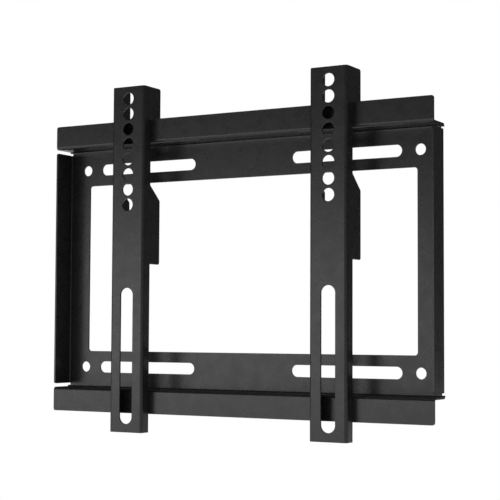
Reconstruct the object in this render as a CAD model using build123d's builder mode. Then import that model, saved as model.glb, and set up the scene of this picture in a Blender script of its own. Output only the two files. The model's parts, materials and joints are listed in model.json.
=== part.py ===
from build123d import *
import os

# A fixed wall bracket for a flat screen: a folded wall plate, and two folded arms that hook over its top
# rail. Millimetres. X runs along the rails, Y goes into the wall and Z is up. The wall is the plane y = 0,
# and the origin is the middle of the plate on that plane.

# Folded sheet
sheet = 1.2              # thickness of every piece
bend_radius = 0.8        # inside radius of every fold
blank_corner = 1.5       # rounding of the lips' and flanges' free corners

# Wall plate
plate_width = 277.0      # along the rails, from end to end
plate_height = 164.0     # over the outsides of the two rail webs
rail_depth = 17.0        # from the wall to the front of the lips and side flanges
lip_height = 14.6        # lip standing clear of its web
corner_relief = 1.5      # notch between a side flange and the fold of a rail
rail_band = 25.5         # from the outside of a rail web to the window
side_band = 17.0         # from the outside of a side flange to the window
window_corner = 2.0      # radius in the window's corners

# Wall fixings, in one row above the window and one below
row_offset = 10.7        # from the window's edge to the row
wall_hole_diameter = 7.0
wall_hole_inset = 15.0   # from the plate's end to the middle of a corner hole
wall_slot_width = 7.5
slot_hole_gap = 8.5      # plate left between a slot and the corner hole beside it
slot_middle_gap = 72.0   # plate left between the two slots of a row

# Arms
arm_width = 25.5
arm_spacing = 147.0      # between the middles of the two arms as they hang
arm_above_lip = 21.5     # from the top lip's edge to the arm's top end
arm_below_lip = 12.0     # from the bottom lip's edge to the arm's bottom end
arm_edge = 8.0           # depth of the channel where it passes in front of the lips
plate_gap = 4.8          # between the plate's face and the deepest edges of the arms
lip_clearance = 0.2      # around a lip in the hook
finger_gap = 0.5         # between the hook's tip and the fold of the rail
belly_drop = 43.6        # from the top lip's edge down to the deeper stretch of the flanges
belly_height = 52.0      # of that stretch, over all
belly_slope = 9.5        # height of its slanted upper edge

# Holes for the screen's bolts
bolt_hole_diameter = 8.0
bolt_hole_web = 2.0      # metal left between neighbouring holes
bolt_hole_count = 8
hole_end_margin = 4.1    # metal left between the arm's top end and the first hole
bolt_slot_width = 9.5
bolt_slot_length = 88.5
slot_end_margin = 5.5    # metal left between the arm's bottom end and the slot

os.makedirs("parts", exist_ok=True)

# Places on the plate
outer_radius = bend_radius + sheet
half_width = plate_width / 2
web_top = plate_height / 2
lip_top = web_top + lip_height
lip_back = -(rail_depth - sheet)
fold_line = web_top - outer_radius
flange_top = fold_line - corner_relief
window_width = plate_width - 2 * side_band
window_height = plate_height - 2 * rail_band
row_height = window_height / 2 + row_offset
hole_x = half_width - wall_hole_inset
slot_outer = hole_x - wall_hole_diameter / 2 - slot_hole_gap
slot_inner = slot_middle_gap / 2
wall_slot_length = slot_outer - slot_inner
slot_x = (slot_outer + slot_inner) / 2

with BuildPart() as wall_plate:
    # Lip, web, plate, web and lip in one folded section, run along the rails.
    with BuildSketch(Plane.YZ.offset(-half_width)):
        with BuildLine():
            FilletPolyline(
                (lip_back, lip_top),
                (lip_back, web_top),
                (0, web_top),
                (0, -web_top),
                (lip_back, -web_top),
                (lip_back, -lip_top),
                radius=[bend_radius, outer_radius, outer_radius, bend_radius],
            )
            offset(amount=sheet, side=Side.RIGHT)
        make_face()
    extrude(amount=plate_width)
    # The plate stops at the fold lines of the side flanges.
    with BuildSketch(Plane.XZ):
        with GridLocations(plate_width - outer_radius, 0, 2, 1):
            Rectangle(outer_radius, 2 * fold_line)
    extrude(amount=sheet, mode=Mode.SUBTRACT)
    # Side flange, plate and side flange in a second folded section, between the corner notches.
    with BuildSketch(Plane.XY.offset(-flange_top)):
        with BuildLine():
            FilletPolyline(
                (-half_width, -rail_depth),
                (-half_width, 0),
                (half_width, 0),
                (half_width, -rail_depth),
                radius=outer_radius,
            )
            offset(amount=sheet, side=Side.RIGHT)
        make_face()
    extrude(amount=2 * flange_top)
    # The free corners of the lips, at top and bottom, and of the side flanges, at the front.
    lip_corners = wall_plate.edges().filter_by(Axis.Y).group_by(Axis.Z)
    front_edges = wall_plate.edges().filter_by(Axis.X).group_by(Axis.Y)[0]
    flange_corners = front_edges.group_by(SortBy.LENGTH)[0]
    fillet(lip_corners[0] + lip_corners[-1] + flange_corners, blank_corner)
    # The window, the slots and the corner holes.
    with BuildSketch(Plane.XZ):
        RectangleRounded(window_width, window_height, window_corner)
        with GridLocations(2 * slot_x, 2 * row_height, 2, 2):
            SlotOverall(wall_slot_length, wall_slot_width)
        with GridLocations(2 * hole_x, 2 * row_height, 2, 2):
            Circle(wall_hole_diameter / 2)
    extrude(amount=sheet, mode=Mode.SUBTRACT)
wall_plate.part.label = "wall_plate"
export_step(wall_plate.part, "parts/wall_plate.step")

# Places on an arm, which hangs by its hooks on the top lip
arm_top = lip_top + arm_above_lip
arm_bottom = -(lip_top + arm_below_lip)
arm_length = arm_top - arm_bottom
arm_back = -(rail_depth + lip_clearance)
arm_front = arm_back - arm_edge
arm_deep = -(sheet + plate_gap)
finger_front = lip_back + lip_clearance
finger_tip = web_top + bend_radius + finger_gap
seat = lip_top + lip_clearance
belly_top = lip_top - belly_drop
belly_bottom = belly_top - belly_height
hole_pitch = bolt_hole_diameter + bolt_hole_web
first_hole = arm_top - hole_end_margin - bolt_hole_diameter / 2
hole_row_middle = first_hole - hole_pitch * (bolt_hole_count - 1) / 2
bolt_slot_middle = arm_bottom + slot_end_margin + bolt_slot_length / 2

arm_places = {
    "left_arm": -arm_spacing / 2,
    "right_arm": arm_spacing / 2,
}
for arm_name, arm_x in arm_places.items():
    arm_left = arm_x - arm_width / 2
    arm_right = arm_x + arm_width / 2
    with BuildPart() as arm:
        # A folded channel, open towards the wall, at its full depth.
        with BuildSketch(Plane.XY.offset(arm_bottom)):
            with BuildLine():
                FilletPolyline(
                    (arm_left, arm_deep),
                    (arm_left, arm_front),
                    (arm_right, arm_front),
                    (arm_right, arm_deep),
                    radius=outer_radius,
                )
                offset(amount=sheet, side=Side.LEFT)
            make_face()
        extrude(amount=arm_length)
        # The outline of both flanges: hook, lip slot, deeper stretch and the edge before the bottom lip.
        with BuildSketch(Plane.YZ.offset(arm_left)):
            with BuildLine():
                Polyline(
                    (arm_front, arm_bottom),
                    (arm_front, arm_top),
                    (arm_deep, arm_top),
                    (arm_deep, finger_tip),
                    (finger_front, finger_tip),
                    (finger_front, seat),
                    (arm_back, seat),
                    (arm_back, belly_top),
                    (arm_deep, belly_top - belly_slope),
                    (arm_deep, belly_bottom),
                    (arm_back, belly_bottom),
                    (arm_back, arm_bottom),
                    close=True,
                )
            outline = make_face()
            free_corners = outline.vertices().filter_by_position(Axis.X, arm_deep, arm_deep)
            fillet(free_corners, blank_corner)
        extrude(amount=arm_width, mode=Mode.INTERSECT)
        # The row of round holes and the long slot in the front face.
        with BuildSketch(Plane.XZ.offset(-arm_front)):
            with Locations((arm_x, hole_row_middle)):
                with GridLocations(0, hole_pitch, 1, bolt_hole_count):
                    Circle(bolt_hole_diameter / 2)
            with Locations((arm_x, bolt_slot_middle)):
                SlotOverall(bolt_slot_length, bolt_slot_width, rotation=90)
        extrude(amount=-sheet, mode=Mode.SUBTRACT)
    arm.part.label = arm_name
    export_step(arm.part, f"parts/{arm_name}.step")
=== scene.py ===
# %% [markdown]
# # A fixed wall bracket for a flat screen
#
# The real object is three pieces of sheet steel: a wall plate folded into a shallow frame, and two
# channel arms that hook over its top rail. All three are powder coated in satin black. This lesson folds
# each piece from a flat sheet in Blender, as a press would, gives the sheet its thickness, punches its
# holes, softens its edges the way the coat does, and then mixes the coat itself as a material.
#
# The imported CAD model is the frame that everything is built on. It gives the places and the sizes, so the
# first step loads it and keeps the box that it fills.

# %% Load the frame
import json
import math

import bmesh
import bpy
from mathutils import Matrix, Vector


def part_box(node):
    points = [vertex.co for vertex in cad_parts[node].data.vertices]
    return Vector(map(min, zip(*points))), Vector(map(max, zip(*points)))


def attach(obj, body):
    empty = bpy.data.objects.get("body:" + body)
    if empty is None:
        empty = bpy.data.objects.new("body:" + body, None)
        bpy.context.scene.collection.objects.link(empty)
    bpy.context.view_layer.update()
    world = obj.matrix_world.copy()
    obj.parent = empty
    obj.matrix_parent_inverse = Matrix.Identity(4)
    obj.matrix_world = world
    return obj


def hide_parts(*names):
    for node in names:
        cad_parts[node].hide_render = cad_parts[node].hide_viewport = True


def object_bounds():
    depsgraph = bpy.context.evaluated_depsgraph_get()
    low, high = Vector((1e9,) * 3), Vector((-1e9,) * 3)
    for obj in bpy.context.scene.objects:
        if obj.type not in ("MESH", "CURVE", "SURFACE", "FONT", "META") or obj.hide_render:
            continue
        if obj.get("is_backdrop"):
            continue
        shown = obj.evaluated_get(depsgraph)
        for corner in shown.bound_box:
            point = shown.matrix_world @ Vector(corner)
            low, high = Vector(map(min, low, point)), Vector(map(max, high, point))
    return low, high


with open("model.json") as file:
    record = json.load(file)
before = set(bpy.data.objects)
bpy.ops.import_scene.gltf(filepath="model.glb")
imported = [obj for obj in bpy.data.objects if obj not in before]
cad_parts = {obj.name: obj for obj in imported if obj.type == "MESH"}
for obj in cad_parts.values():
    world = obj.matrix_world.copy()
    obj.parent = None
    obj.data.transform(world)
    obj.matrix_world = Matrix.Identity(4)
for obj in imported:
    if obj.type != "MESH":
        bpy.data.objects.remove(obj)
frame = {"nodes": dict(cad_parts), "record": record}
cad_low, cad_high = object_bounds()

print("nodes:", sorted(frame["nodes"]))
print("box in metres:", tuple(cad_low), "to", tuple(cad_high))

# %% [markdown]
# ## The sheet
#
# Blender works in metres and a sheet metal worker in millimetres, so one value turns the second into the
# first. Every piece is cut from the same thin steel and folded over the same small radius. What the frame
# knows is read from it in the steps below, such as the corners of each piece and the places of its holes.
# What it doesn't know is named once, where it is first needed.

# %% Size the sheet
mm = 0.001
sheet = 1.2 * mm          # thickness of every piece
inner_radius = 0.8 * mm   # inside of every fold
outer_radius = inner_radius + sheet
print("sheet:", round(sheet / mm, 2), "mm thick, folded to", round(outer_radius / mm, 2), "mm outside")

# %% [markdown]
# ## The wall plate's blank
#
# The plate is a flat frame with a rail along its top and bottom and a flange at each side. It could start
# as a box with some faces deleted and its edges bevelled. Folding it from a flat face is closer to the
# real thing, and every radius comes out exact. So the start is the flat middle, from fold line to fold
# line. The side flanges end a little short of the rails: that gap is the relief notch, without which the
# sheet would tear at its corners.

# %% Find the plate's fold lines
plate_low, plate_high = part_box("wall_plate")
lip_height = 14.6 * mm    # lip standing clear of its web
corner_relief = 1.5 * mm  # between a side flange and a rail's fold
plate_end = plate_high.x
rail_front = plate_low.y
lip_back = rail_front + sheet
lip_edge = plate_high.z
web_top = lip_edge - lip_height
fold_x = plate_end - outer_radius
fold_z = web_top - outer_radius
flange_top = fold_z - corner_relief
print("flat middle:", round(2 * fold_x / mm, 2), "by", round(2 * fold_z / mm, 2), "mm")

# %% [markdown]
# A plane is added, turned upright and stretched to that size. Bisect then scores it across at the ends of
# the side flanges, which splits its upright edges into stretches that can be folded by themselves.

# %% Cut the flat middle
def start_flat(name, width, height, middle):
    """An upright rectangle, open in edit mode: the flat middle of a blank."""
    bpy.ops.object.select_all(action="DESELECT")
    bpy.ops.mesh.primitive_plane_add(size=1, rotation=(math.pi / 2, 0, 0))
    piece = bpy.context.object
    piece.name = piece.data.name = name
    piece.scale = (width, height, 1)
    piece.location = middle
    bpy.ops.object.transform_apply(location=True, rotation=True, scale=True)
    bpy.ops.object.mode_set(mode="EDIT")
    return piece


def score(*heights):
    """Cut the sheet across at some heights."""
    for height in heights:
        bpy.ops.mesh.select_all(action="SELECT")
        bpy.ops.mesh.bisect(plane_co=(0, 0, height), plane_no=(0, 0, 1))


def edit_mesh():
    """The mesh that is open in edit mode."""
    return bmesh.from_edit_mesh(bpy.context.object.data)


wall_plate = start_flat("coated_wall_plate", 2 * fold_x, 2 * fold_z, (0, 0, 0))
score(flange_top, -flange_top)
print("blank, scored:", len(edit_mesh().faces), "faces")

# %% [markdown]
# ## Folding
#
# A fold is made as the press makes it: pick a free edge, sweep it round the centre line of the bend with
# Spin, and pull it straight with Extrude. The surface that is folded is one side of the sheet only, and
# the thickness comes later, all at once. By hand an edge is picked with a click. In code it is picked by
# where its middle lies, which goes on working when a size changes.

# %% Pick edges by their place
near = 0.02 * mm          # closer than this is the same place


def is_at(value, place):
    """Whether a coordinate is the one of this place."""
    return abs(value - place) < near


def pick_edges(test):
    """Select the edges whose middle passes the test."""
    bpy.ops.mesh.select_mode(type="EDGE")
    bpy.ops.mesh.select_all(action="DESELECT")
    for edge in edit_mesh().edges:
        edge.select_set(test((edge.verts[0].co + edge.verts[1].co) / 2))
    bmesh.update_edit_mesh(bpy.context.object.data)


pick_edges(lambda middle: is_at(middle.z, fold_z))
print("edges on the top rail's fold line:", sum(edge.select for edge in edit_mesh().edges))

# %% [markdown]
# Each rail is two folds: forward at the plate, then away from the window at the lip. The first fold
# sweeps the outside of the bend and the second the inside, because the folded surface is the sheet's
# back. Spin turns left-handed here, so the helper passes it the angle with a minus sign.

# %% Fold the rails
FOLD_STEPS = 8            # facets of every bend


def fold(centre, axis, degrees):
    """Sweep the picked edges round the centre line of a bend."""
    bpy.ops.mesh.spin(steps=FOLD_STEPS, angle=-math.radians(degrees), center=centre, axis=axis)


def pull(x=0, y=0, z=0):
    """Grow the sheet from the picked edges."""
    bpy.ops.mesh.extrude_region_move(TRANSFORM_OT_translate={"value": (x, y, z)})


for up in (1, -1):
    pick_edges(lambda middle: is_at(middle.z, up * fold_z))
    fold((0, -outer_radius, up * fold_z), (1, 0, 0), up * 90)
    pull(y=lip_back + inner_radius + outer_radius)
    fold((0, lip_back + inner_radius, up * (web_top + inner_radius)), (1, 0, 0), up * -90)
    pull(z=up * (lip_edge - web_top - inner_radius))
print("plate with rails:", len(edit_mesh().faces), "faces")

# %% [markdown]
# The ends of the rails are pulled out to the plate's full width, past the notches. Between the notches,
# each side flange is a single fold forward.

# %% Fold the side flanges
for side in (1, -1):
    pick_edges(lambda middle: is_at(middle.x, side * fold_x) and abs(middle.z) > fold_z)
    pull(x=side * outer_radius)
    pick_edges(lambda middle: is_at(middle.x, side * fold_x) and abs(middle.z) < flange_top)
    fold((side * fold_x, -outer_radius, 0), (0, 0, 1), side * -90)
    pull(y=rail_front + outer_radius)
print("plate with side flanges:", len(edit_mesh().faces), "faces")

# %% [markdown]
# The folded sheet is a patchwork by now, with a seam at every score and pull. What lies in one plane is
# joined to one face, so that no seam is left to crease the coat or to stop a rounding. A limited dissolve
# does that, and keeps the facets of the bends, which turn by more than its limit.

# %% Join what lies in one plane
same_plane = math.radians(1)


def join_flats():
    """Merge doubles, and join the faces that lie in one plane."""
    bpy.ops.mesh.select_all(action="SELECT")
    bpy.ops.mesh.remove_doubles(threshold=near)
    bpy.ops.mesh.dissolve_limited(angle_limit=same_plane)


join_flats()
print("plate with its flats joined:", len(edit_mesh().faces), "faces")

# %% [markdown]
# A maker rounds the free corners of a blank, because a square one cuts the hand that holds it. These are
# the ends of the lips and the front corners of the side flanges. A Bevel on vertices rounds each one in
# the plane of its face.

# %% Round the plate's free corners
CORNER_STEPS = 6          # facets of every rounded corner
blank_corner = 1.5 * mm   # radius of a free corner


def pick_points(test):
    """Select the points that pass the test."""
    bpy.ops.mesh.select_mode(type="VERT")
    bpy.ops.mesh.select_all(action="DESELECT")
    for vert in edit_mesh().verts:
        vert.select_set(test(vert.co))
    bmesh.update_edit_mesh(bpy.context.object.data)


def pick_corners(places):
    """Select the points at these places."""
    pick_points(lambda point: any((point - Vector(place)).length < near for place in places))


def round_corners(places, tangent):
    """Round the corners at these places, with arcs that start this far from each."""
    pick_corners(places)
    bpy.ops.mesh.bevel(offset=tangent, segments=CORNER_STEPS, affect="VERTICES")


plate_ends = (-plate_end, plate_end)
round_corners([(x, lip_back, z) for x in plate_ends for z in (-lip_edge, lip_edge)], blank_corner)
round_corners([(x, rail_front, z) for x in plate_ends for z in (-flange_top, flange_top)], blank_corner)
print("plate with round corners:", len(edit_mesh().faces), "faces,", len(edit_mesh().verts), "points")

# %% [markdown]
# ## Thickness
#
# The folded surface is made into sheet with Solidify, which keeps the wall even round every bend. It
# grows against the normals, so these are first made to agree, and turned over if they point into the
# sheet. The largest face, whose direction is known, tells which way they went.

# %% Give the plate its thickness
def apply_modifier(piece, kind, **settings):
    """Add a modifier with these settings, and apply it."""
    modifier = piece.modifiers.new(kind.lower(), kind)
    for setting, value in settings.items():
        setattr(modifier, setting, value)
    bpy.context.view_layer.objects.active = piece
    bpy.ops.object.modifier_apply(modifier=modifier.name)


def thicken(piece, outwards):
    """Point the largest face of the open piece outwards, and grow the sheet behind it."""
    bpy.ops.mesh.select_all(action="SELECT")
    bpy.ops.mesh.normals_make_consistent(inside=False)
    largest = max(edit_mesh().faces, key=lambda face: face.calc_area())
    if largest.normal.dot(outwards) < 0:
        bpy.ops.mesh.flip_normals()
    bpy.ops.object.mode_set(mode="OBJECT")
    apply_modifier(piece, "SOLIDIFY", thickness=sheet, offset=-1, use_even_offset=True)


to_the_wall = Vector((0, 1, 0))
thicken(wall_plate, to_the_wall)
print("plate with thickness:", len(wall_plate.data.polygons), "faces")

# %% [markdown]
# ## Punches
#
# The window, the slots and the holes are punched through the sheet, and a Boolean does the same with
# tools that are modelled as punches. The record lists the holes as mounts, with their radius and spacing.
# A round hole's punch is a cylinder that points through the sheet.

# %% Make the round punch
HOLE_STEPS = 48           # facets of every hole
punch_depth = 6 * mm
mounts = {mount["name"]: mount for mount in frame["record"]["mounts"]}


def round_punch(radius):
    """A cylinder along Y at the origin, with a facet and not an edge at its sides."""
    half_step = math.pi / HOLE_STEPS
    bpy.ops.object.select_all(action="DESELECT")
    bpy.ops.mesh.primitive_cylinder_add(
        vertices=HOLE_STEPS, radius=radius, depth=punch_depth, rotation=(math.pi / 2, half_step, 0))
    bpy.ops.object.transform_apply(location=False, rotation=True, scale=False)
    return bpy.context.object


corner_holes = mounts["wall_corner_holes"]
corner_hole_radius = corner_holes["dims"]["hole_r_mm"] * mm
corner_hole_punch = round_punch(corner_hole_radius)
print("corner holes:", round(2 * corner_hole_radius / mm, 2), "mm across")

# %% [markdown]
# A slot's punch starts as a cylinder too. Its two halves are picked, one after the other, and moved
# apart, and the two facets at its sides stretch into the slot's straight edges.

# %% Make the slot's punch
def slot_punch(radius, length, along):
    """A round punch that is drawn out to a slot's length over all."""
    punch = round_punch(radius)
    bpy.ops.object.mode_set(mode="EDIT")
    for way in (1, -1):
        pick_points(lambda point: point.dot(along) * way > 0)
        bpy.ops.transform.translate(value=way * along * (length / 2 - radius))
    bpy.ops.object.mode_set(mode="OBJECT")
    return punch


wall_slots = mounts["wall_slots"]
wall_slot_radius = wall_slots["dims"]["hole_r_mm"] * mm
wall_slot_length = wall_slots["dims"]["slot_length_mm"] * mm
wall_slot_punch = slot_punch(wall_slot_radius, wall_slot_length, Vector((1, 0, 0)))
print("slots:", round(wall_slot_length / mm, 2), "by", round(2 * wall_slot_radius / mm, 2), "mm")

# %% [markdown]
# The window is as large as the plate allows: cables pass through it, and what is left is a band of sheet
# all round. Its punch is a block with the four edges that go through the sheet bevelled, because a sheet
# tears from a sharp corner first.

# %% Make the window's punch
rail_band = 25.5 * mm     # from the outside of a rail to the window
side_band = 17 * mm       # from the outside of a side flange to the window
window_corner = 2 * mm
window_half_width = plate_end - side_band
window_half_height = web_top - rail_band

bpy.ops.object.select_all(action="DESELECT")
bpy.ops.mesh.primitive_cube_add(size=2, scale=(window_half_width, punch_depth / 2, window_half_height))
window_punch = bpy.context.object
bpy.ops.object.mode_set(mode="EDIT")
pick_edges(lambda middle: is_at(abs(middle.x), window_half_width)
           and is_at(abs(middle.z), window_half_height))
bpy.ops.mesh.bevel(offset=window_corner, segments=CORNER_STEPS, affect="EDGES")
bpy.ops.object.mode_set(mode="OBJECT")
print("window:", round(2 * window_half_width / mm, 2), "by", round(2 * window_half_height / mm, 2), "mm")

# %% [markdown]
# The screws to the wall go through the bands: long slots above and below the window, so that the plate
# can be shifted level, and a round hole in each corner. Each punch is made once and copied to its places,
# which the spacing of its mount gives.

# %% Copy the punches to their places
def pattern(mount):
    """The places of a mount's holes, in metres."""
    across = mount["dims"].get("spacing_x_mm", 0) * mm / 2
    upwards = mount["dims"].get("spacing_y_mm", 0) * mm / 2
    middle = Vector(mount["pos_m"])
    places = {tuple(middle + Vector((x, 0, z))) for x in (-across, across) for z in (-upwards, upwards)}
    return sorted(places)


def copy_to(punch, places):
    """Copy a punch to each of these places, and put the first one away."""
    copies = []
    for place in places:
        bpy.ops.object.select_all(action="DESELECT")
        punch.select_set(True)
        bpy.context.view_layer.objects.active = punch
        bpy.ops.object.duplicate(linked=False)
        bpy.ops.transform.translate(value=place)
        copies.append(bpy.context.object)
    bpy.data.objects.remove(punch, do_unlink=True)
    return copies


corner_hole_punches = copy_to(corner_hole_punch, pattern(corner_holes))
wall_slot_punches = copy_to(wall_slot_punch, pattern(wall_slots))
print("punches:", len(corner_hole_punches), "for corner holes and", len(wall_slot_punches), "for slots")

# %% [markdown]
# All punches are joined into one object, and one Boolean takes them out of the plate together. That is
# quicker than a Boolean for each hole, and it leaves cleaner faces.

# %% Punch the wall plate
def punch_out(piece, punches):
    """Join the punches, and take them out of the piece."""
    bpy.ops.object.select_all(action="DESELECT")
    for punch in punches:
        punch.select_set(True)
    bpy.context.view_layer.objects.active = punches[0]
    bpy.ops.object.join()
    tool = bpy.context.object
    apply_modifier(piece, "BOOLEAN", operation="DIFFERENCE", solver="EXACT", object=tool)
    bpy.data.objects.remove(tool, do_unlink=True)
    print(piece.name, "after", len(punches), "punches:", len(piece.data.polygons), "faces")


punch_out(wall_plate, [window_punch] + corner_hole_punches + wall_slot_punches)

# %% [markdown]
# ## The arms
#
# An arm is a channel that is open towards the wall. Its flanges have an outline with three stretches: a
# shallow edge that passes in front of the lips, a hook at the top with a finger that drops behind the
# lip, and a deeper belly with a slanted upper edge. The arm hangs on the top lip, so its outline is
# worked out from the plate's places and a few clearances.

# %% Find the arm's outline
arm_low, arm_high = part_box("left_arm")
lip_clearance = 0.2 * mm  # around the lip in the hook
finger_gap = 0.5 * mm     # between the finger's tip and the rail's fold
belly_drop = 43.6 * mm    # from the lip's edge down to the belly
belly_slope = 9.5 * mm    # height of the belly's slanted edge
belly_height = 52 * mm    # of the belly over all
arm_front = arm_low.y
arm_back = rail_front - lip_clearance
arm_deep = arm_high.y
finger_front = lip_back + lip_clearance
finger_tip = web_top + inner_radius + finger_gap
seat = lip_edge + lip_clearance
belly_top = lip_edge - belly_drop
belly_low = belly_top - belly_slope
belly_bottom = belly_top - belly_height
arm_width = arm_high.x - arm_low.x
arm_height = arm_high.z - arm_low.z
print("arm:", round(arm_width / mm, 2), "by", round(arm_height / mm, 2), "mm")

# %% [markdown]
# The channel starts as its front strip. Scores at the heights where the outline changes split the strip's
# long edges into stretches. Each edge is folded back as a whole and pulled to the shallow depth, and the
# scores come along with it.

# %% Fold the channel
arm_middle = (arm_low + arm_high) / 2
left_arm = start_flat(
    "coated_left_arm", arm_width - 2 * outer_radius, arm_height, (arm_middle.x, arm_front, arm_middle.z))
score(seat, belly_top, belly_low, belly_bottom)
for side, arm_side in ((-1, arm_low.x), (1, arm_high.x)):
    fold_line = arm_side - side * outer_radius
    pick_edges(lambda middle: is_at(middle.x, fold_line))
    fold((fold_line, arm_front + outer_radius, 0), (0, 0, 1), side * 90)
    pull(y=arm_back - arm_front - outer_radius)
print("channel:", len(edit_mesh().faces), "faces")

# %% [markdown]
# From that shallow edge the hook and the belly are grown on, one stretch after the other. The hook is
# pulled in two steps, because its finger hangs down from the second one only. The slanted edge of the
# belly is one triangle, filled in between three points.

# %% Grow the hooks and the bellies
arm_sides = (arm_low.x, arm_high.x)
slant_corners = ((arm_back, belly_top), (arm_back, belly_low), (arm_deep, belly_low))
for arm_side in arm_sides:
    pick_edges(lambda middle: is_at(middle.x, arm_side) and is_at(middle.y, arm_back) and middle.z > seat)
    pull(y=finger_front - arm_back)
    pull(y=arm_deep - finger_front)
    pick_edges(lambda middle: is_at(middle.x, arm_side) and is_at(middle.z, seat)
               and middle.y > finger_front)
    pull(z=finger_tip - seat)
    pick_edges(lambda middle: is_at(middle.x, arm_side) and is_at(middle.y, arm_back)
               and belly_bottom < middle.z < belly_low)
    pull(y=arm_deep - arm_back)
    pick_corners([(arm_side, y, z) for y, z in slant_corners])
    bpy.ops.mesh.edge_face_add()
print("arm with hooks and bellies:", len(edit_mesh().faces), "faces")

# %% [markdown]
# The free corners at the back are rounded as the plate's are. Where the slanted edge ends, the outline
# turns by less than a right angle, so an arc of the same radius starts nearer to the corner: at the
# radius times the tangent of half the turn. The thickness then grows inwards from the outside of the
# channel.

# %% Round the arm's free corners and give it thickness
join_flats()
square_heights = (arm_high.z, finger_tip, belly_bottom)
round_corners([(x, arm_deep, z) for x in arm_sides for z in square_heights], blank_corner)
turn = math.atan2(arm_deep - arm_back, belly_slope)
round_corners([(x, arm_deep, belly_low) for x in arm_sides], blank_corner * math.tan(turn / 2))
thicken(left_arm, -to_the_wall)
print("arm with thickness:", len(left_arm.data.polygons), "faces")

# %% [markdown]
# A screen's upper bolts go through one round hole of each arm, and its lower bolts through the slots, at
# any height. The record lists the row of holes as pairs about its middle, so the pairs together give
# every hole's place.

# %% Punch the arm
bolt_slot_width = 9.5 * mm
bolt_slot_length = 88.5 * mm
bolt_pairs = [mounts[name] for name in sorted(mounts) if name.startswith("left_arm_holes")]
bolt_places = [place for pair in bolt_pairs for place in pattern(pair)]
bolt_hole_punch = round_punch(bolt_pairs[0]["dims"]["hole_r_mm"] * mm)
bolt_slot_punch = slot_punch(bolt_slot_width / 2, bolt_slot_length, Vector((0, 0, 1)))
bolt_slot_place = mounts["left_arm_slot"]["pos_m"]
punch_out(left_arm, copy_to(bolt_hole_punch, bolt_places) + copy_to(bolt_slot_punch, [bolt_slot_place]))

# %% [markdown]
# ## Soft edges
#
# A sheared edge is deburred and then coated, so it is never sharp: the coat flows round it in a radius of
# a few tenths of a millimetre, and that thin round catches the light. A Bevel limited by angle finds the
# sheared edges and leaves the folds alone, because their facets meet at a shallow angle. In the tight
# corners of the notches it leaves some points on top of each other, which are merged.

# %% Round the sheared edges
EDGE_STEPS = 3            # facets of every rounded edge
edge_radius = 0.3 * mm
sheared_angle = math.radians(35)
doubled = 0.002 * mm      # points closer than this are one


def round_edges(piece):
    """Round the sheared edges of a piece, and merge what falls together."""
    apply_modifier(piece, "BEVEL", width=edge_radius, segments=EDGE_STEPS, limit_method="ANGLE",
                   angle_limit=sheared_angle)
    bpy.ops.object.mode_set(mode="EDIT")
    bpy.ops.mesh.select_all(action="SELECT")
    bpy.ops.mesh.remove_doubles(threshold=doubled)
    bpy.ops.object.mode_set(mode="OBJECT")
    print(piece.name, "with round edges:", len(piece.data.polygons), "faces")


round_edges(wall_plate)
round_edges(left_arm)

# %% [markdown]
# In those same corners, where a bend begins, the Bevel also pushes a point a few hundredths of a
# millimetre out of the flat. The plate's back lies against the wall, so whatever stands proud of it is
# pressed back: scaled to nothing along Y, about the wall plane.

# %% Press the plate's back flat
wall_plane = plate_high.y
bpy.context.view_layer.objects.active = wall_plate
bpy.ops.object.mode_set(mode="EDIT")
pick_points(lambda point: point.y > wall_plane)
proud = max(vert.co.y for vert in edit_mesh().verts) - wall_plane
bpy.ops.transform.resize(value=(1, 0, 1), center_override=(0, wall_plane, 0))
bpy.ops.object.mode_set(mode="OBJECT")
print("pressed back by", round(proud / mm, 3), "mm at most")

# %% [markdown]
# The bends and the rounded edges are facets still. Smooth shading turns them into curves, up to an angle
# past which an edge stays sharp, and weighted normals keep the large flat faces flat to the eye.

# %% Shade the pieces smooth
smooth_angle = math.radians(40)
for piece in (wall_plate, left_arm):
    bpy.ops.object.select_all(action="DESELECT")
    piece.select_set(True)
    bpy.ops.object.shade_smooth_by_angle(angle=smooth_angle)
    apply_modifier(piece, "WEIGHTED_NORMAL", keep_sharp=True)
    print(piece.name, "shaded,", sum(edge.use_edge_sharp for edge in piece.data.edges), "edges kept sharp")

# %% [markdown]
# ## The second arm
#
# Both arms come off the same press, so the right one is a copy of the left with a mesh of its own. It is
# moved inside its mesh: the object stays at the origin, as the CAD nodes do, and the coat's pattern with
# it.

# %% Copy the arm to the right
arm_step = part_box("right_arm")[0].x - arm_low.x
bpy.ops.object.select_all(action="DESELECT")
left_arm.select_set(True)
bpy.context.view_layer.objects.active = left_arm
bpy.ops.object.duplicate(linked=False)
right_arm = bpy.context.object
right_arm.name = right_arm.data.name = "coated_right_arm"
bpy.ops.object.mode_set(mode="EDIT")
bpy.ops.mesh.select_all(action="SELECT")
bpy.ops.transform.translate(value=(arm_step, 0, 0))
bpy.ops.object.mode_set(mode="OBJECT")
print("right arm:", round(arm_step / mm, 2), "mm from the left one")

# %% [markdown]
# ## Onto the frame
#
# Each finished piece stands for one node of the CAD model. It hides that node and rides on the body of the
# same name.

# %% Put the pieces on the frame
pieces = {"wall_plate": wall_plate, "left_arm": left_arm, "right_arm": right_arm}
for node, piece in pieces.items():
    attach(piece, node)
    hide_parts(node)
print("pieces:", {node: piece.name for node, piece in pieces.items()})

# %% [markdown]
# ## The powder coat
#
# Powder coat is sprayed on dry and baked until it flows, and it sets to a satin black with a fine orange
# peel. One flat black would look like plastic film, so three noises on Object coordinates vary it. The
# first makes the gloss a little uneven: a Noise Texture in patches of some millimetres, and a Map Range
# that brings its values to a narrow span of roughness.

# %% Make the gloss uneven
NOISE_SPAN = (0.3, 0.7)       # where a noise spends most of its values
gloss_patch = 8 * mm
gloss_span = (0.25, 0.31)     # of the roughness


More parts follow.
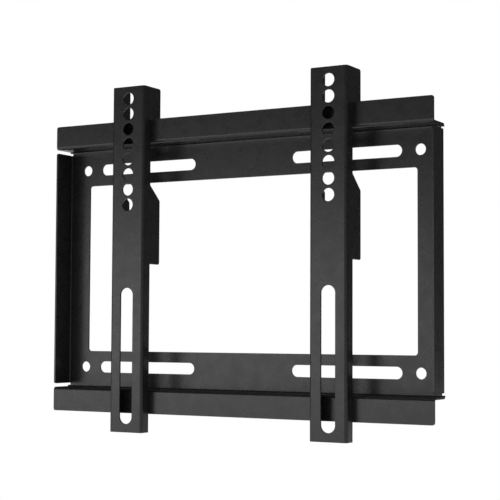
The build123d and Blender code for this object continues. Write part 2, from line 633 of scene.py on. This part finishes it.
def noise(tree, size, detail):
    """A noise on Object coordinates, whose features are about this many metres across."""
    coordinates = tree.nodes.new("ShaderNodeTexCoord")
    texture = tree.nodes.new("ShaderNodeTexNoise")
    texture.inputs["Scale"].default_value = 1 / size
    texture.inputs["Detail"].default_value = detail
    tree.links.new(coordinates.outputs["Object"], texture.inputs["Vector"])
    return texture.outputs["Fac"]


def remap(tree, value, old_span, new_span):
    """A value brought from one span to another."""
    scale = tree.nodes.new("ShaderNodeMapRange")
    scale.inputs["From Min"].default_value, scale.inputs["From Max"].default_value = old_span
    scale.inputs["To Min"].default_value, scale.inputs["To Max"].default_value = new_span
    tree.links.new(value, scale.inputs["Value"])
    return scale.outputs["Result"]


coat = bpy.data.materials.new("powder_coat")
coat.use_nodes = True
coat_tree = coat.node_tree
coat_shader = coat_tree.nodes["Principled BSDF"]
gloss = remap(coat_tree, noise(coat_tree, gloss_patch, detail=2), NOISE_SPAN, gloss_span)
coat_tree.links.new(gloss, coat_shader.inputs["Roughness"])
print("roughness:", gloss_span[0], "to", gloss_span[1])

# %% [markdown]
# The second noise lifts and sinks the black, where the coat lies thinner or thicker. Both blacks are
# close to each other and nearly neutral, with a touch of blue, because that is how carbon black looks in
# a baked coat.

# %% Vary the black
thin_black = (0.0110, 0.0110, 0.0116, 1)
thick_black = (0.0075, 0.0075, 0.0079, 1)
tone_patch = 5 * mm

tone = coat_tree.nodes.new("ShaderNodeMix")
tone.data_type = "RGBA"
tone.inputs["A"].default_value = thick_black
tone.inputs["B"].default_value = thin_black
thinness = remap(coat_tree, noise(coat_tree, tone_patch, detail=3), NOISE_SPAN, (0, 1))
coat_tree.links.new(thinness, tone.inputs["Factor"])
coat_tree.links.new(tone.outputs["Result"], coat_shader.inputs["Base Color"])
print("black:", thick_black[:3], "to", thin_black[:3])

# %% [markdown]
# The third noise is the peel, the fine skin that the powder sets to. It is only some hundredths of a
# millimetre high, far too fine to model, so it is a bump. It has no detail in it, because flowed powder
# is round and not crumpled.

# %% Raise the peel
peel_grain = 0.5 * mm
peel_height = 0.028 * mm

peel = coat_tree.nodes.new("ShaderNodeBump")
peel.inputs["Distance"].default_value = peel_height
coat_tree.links.new(noise(coat_tree, peel_grain, detail=0), peel.inputs["Height"])
coat_tree.links.new(peel.outputs["Normal"], coat_shader.inputs["Normal"])
for piece in pieces.values():
    piece.data.materials.clear()
    piece.data.materials.append(coat)
print("coat:", len(coat_tree.nodes), "nodes on", len(pieces), "pieces")

# %% [markdown]
# ## The camera
#
# The place and the turn of the camera were worked out from the straight edges of the bracket in the
# picture: it stands to the right of the bracket and a little below its middle, and looks slightly up.

# %% Set the camera
FRAME_PIXELS = 500            # width and height of the picture
SENSOR_WIDTH = 36             # in millimetres, as lenses are
focal_pixels = 1379.9         # focal length, counted in pixels
camera_place = Vector((445.9, -766.8, -42.4)) * mm
pan = math.radians(29.9)      # to the left
tilt = math.radians(3.36)     # upwards
roll = math.radians(0.27)

camera_data = bpy.data.cameras.new("camera")
camera_data.sensor_width = SENSOR_WIDTH
camera_data.lens = SENSOR_WIDTH * focal_pixels / FRAME_PIXELS
camera = bpy.data.objects.new("camera", camera_data)
camera.location = camera_place
camera.rotation_euler = (math.pi / 2 + tilt, 0, pan)
camera.rotation_euler.rotate_axis("Z", roll)
bpy.context.scene.collection.objects.link(camera)
bpy.context.scene.camera = camera
print("lens:", round(camera_data.lens, 2), "mm, at", round(camera_place.length, 3), "m from the middle")

# %% [markdown]
# ## The floor
#
# The bracket hangs on nothing that shows, and a pale floor lies well below it and takes its shadow. A
# small square floor would show its edges against the white backdrop, so this one is round and wide, and
# further out it fades into that white.

# %% Lay the floor
FLOOR_STEPS = 96
floor_radius = 6.0            # in metres
floor_drop = 0.5              # below the bracket, in metres
floor_grey = (0.9, 0.9, 0.9, 1)
floor_roughness = 0.9

bpy.ops.object.select_all(action="DESELECT")
bpy.ops.mesh.primitive_circle_add(
    vertices=FLOOR_STEPS, radius=floor_radius, fill_type="NGON", location=(0, 0, cad_low.z - floor_drop))
floor = bpy.context.object
floor.name = "floor"
floor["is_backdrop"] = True
paint = bpy.data.materials.new("floor_paint")
paint.use_nodes = True
paint_tree = paint.node_tree
paint_shader = paint_tree.nodes["Principled BSDF"]
paint_shader.inputs["Base Color"].default_value = floor_grey
paint_shader.inputs["Roughness"].default_value = floor_roughness
floor.data.materials.append(paint)
print("floor:", floor_radius, "m in radius, at z", round(floor.location.z, 3))

# %% [markdown]
# The fade is there for the rays that look at the floor: the camera's, and those that a mirror or a glass
# passes on. Light Path tells them from the light that the floor throws back onto the bracket, which stays
# that of plain paint. Close to the bracket nothing fades, so the floor keeps the shadow.

# %% Tell how far the floor has faded
fade_span = (0.6, 1.8)        # distances from the middle, in metres


def join_values(tree, operation, first, second):
    """One value made from two by a Math node."""
    node = tree.nodes.new("ShaderNodeMath")
    node.operation = operation
    tree.links.new(first, node.inputs[0])
    tree.links.new(second, node.inputs[1])
    return node.outputs["Value"]


def any_ray(tree, *kinds):
    """One for a ray of any of these kinds, and zero for all others."""
    path = tree.nodes.new("ShaderNodeLightPath").outputs
    found = path[kinds[0]]
    for kind in kinds[1:]:
        found = join_values(tree, "MAXIMUM", found, path[kind])
    return found


distance = paint_tree.nodes.new("ShaderNodeVectorMath")
distance.operation = "LENGTH"
floor_place = paint_tree.nodes.new("ShaderNodeTexCoord").outputs["Object"]
paint_tree.links.new(floor_place, distance.inputs[0])
far_out = remap(paint_tree, distance.outputs["Value"], fade_span, (0, 1))
looked_at = any_ray(paint_tree, "Is Camera Ray", "Is Glossy Ray", "Is Transmission Ray")
fade = join_values(paint_tree, "MULTIPLY", far_out, looked_at)
print("floor fades from", fade_span[0], "to", fade_span[1], "m")

# %% [markdown]
# What it fades to is an Emission of strength 1, which renders as plain white, and a Mix Shader blends the
# two.

# %% Fade the floor to white
def mix_shaders(tree, factor, first, second):
    """A shader that turns from the first into the second with the factor."""
    mix = tree.nodes.new("ShaderNodeMixShader")
    tree.links.new(factor, mix.inputs["Fac"])
    tree.links.new(first, mix.inputs[1])
    tree.links.new(second, mix.inputs[2])
    return mix.outputs["Shader"]


white = paint_tree.nodes.new("ShaderNodeEmission").outputs["Emission"]
surface = mix_shaders(paint_tree, fade, paint_shader.outputs["BSDF"], white)
paint_tree.links.new(surface, paint_tree.nodes["Material Output"].inputs["Surface"])
print("floor paint:", len(paint_tree.nodes), "nodes")

# %% [markdown]
# ## The world
#
# A black coat is mostly seen by what it mirrors. What this one mirrors is a studio: white in front and
# low down, where the paper lies, and dim overhead and behind, which keeps the flanges and the undersides
# of the rails dark. In the world, Generated coordinates are the direction of a ray, and its Y and Z say
# how far in front and how low that is.

# %% Build the mirrored room
dim_level = 0.05              # of the room overhead and behind
front_span = (0.3, -0.5)      # along Y, from dim to white
low_span = (0.15, -0.2)       # along Z, from dim to white

world = bpy.data.worlds.new("studio")
world.use_nodes = True
bpy.context.scene.world = world
world_tree = world.node_tree
world_tree.nodes.clear()
direction = world_tree.nodes.new("ShaderNodeSeparateXYZ")
ray = world_tree.nodes.new("ShaderNodeTexCoord").outputs["Generated"]
world_tree.links.new(ray, direction.inputs["Vector"])
in_front = remap(world_tree, direction.outputs["Y"], front_span, (0, 1))
low_down = remap(world_tree, direction.outputs["Z"], low_span, (0, 1))
whiteness = join_values(world_tree, "MULTIPLY", in_front, low_down)
room_level = remap(world_tree, whiteness, (0, 1), (dim_level, 1))
print("room: from", dim_level, "to 1")

# %% [markdown]
# The camera, and whatever shows through glass, sees plain white all round. What only lights the bracket
# is an even soft grey. So the world is three white backgrounds of different strength, and the kind of ray
# chooses between them.

# %% Choose the background by ray
fill_level = 0.8              # of the light from all round


def white_background(strength=1):
    """A white background of this strength."""
    node = world_tree.nodes.new("ShaderNodeBackground")
    node.inputs["Color"].default_value = (1, 1, 1, 1)
    node.inputs["Strength"].default_value = strength
    return node


room = white_background()
world_tree.links.new(room_level, room.inputs["Strength"])
fill = white_background(fill_level)
backdrop = white_background()
mirrored = any_ray(world_tree, "Is Glossy Ray")
shown = any_ray(world_tree, "Is Camera Ray", "Is Transmission Ray")
lighting = mix_shaders(world_tree, mirrored, fill.outputs["Background"], room.outputs["Background"])
all_round = mix_shaders(world_tree, shown, lighting, backdrop.outputs["Background"])
world_output = world_tree.nodes.new("ShaderNodeOutputWorld")
world_tree.links.new(all_round, world_output.inputs["Surface"])
print("world:", len(world_tree.nodes), "nodes")

# %% [markdown]
# ## The lights
#
# A long strip light stands to the left and in front, at the bracket's own height. Every face that looks
# forward mirrors it, and the arms keep it off the plate to their right. A wide soft light overhead lifts
# the edges that look up, and throws the bracket's shadow on the floor. The Standard view transform shows
# every colour as it is written.

# %% Set the lights
def soft_light(name, place, size, power):
    """An area light of this width and height that looks at the bracket's middle."""
    light = bpy.data.lights.new(name, "AREA")
    light.shape = "RECTANGLE"
    light.size, light.size_y = size
    light.energy = power
    lamp = bpy.data.objects.new(name, light)
    lamp.location = place
    lamp.rotation_euler = (-Vector(place)).to_track_quat("-Z", "Y").to_euler()
    lamp.visible_camera = False
    bpy.context.scene.collection.objects.link(lamp)
    print("light:", name, size, "m,", power, "W")


soft_light("strip", place=(-0.72, -1.12, -0.02), size=(1.0, 0.3), power=1.9)
soft_light("overhead", place=(0.1, -0.3, 1.6), size=(1.5, 1.5), power=4.0)
bpy.context.scene.view_settings.view_transform = "Standard"

# %% [markdown]
# ## Hand over
#
# The last cell prints how far the finished pieces reach past the box of the CAD model on each side, so that
# it shows at once if anything has grown.

# %% Write the sizes
visual_low, visual_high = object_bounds()
grown = [*(cad_low - visual_low), *(visual_high - cad_high)]
print("grown by, in mm:", [round(step / mm, 3) for step in grown])
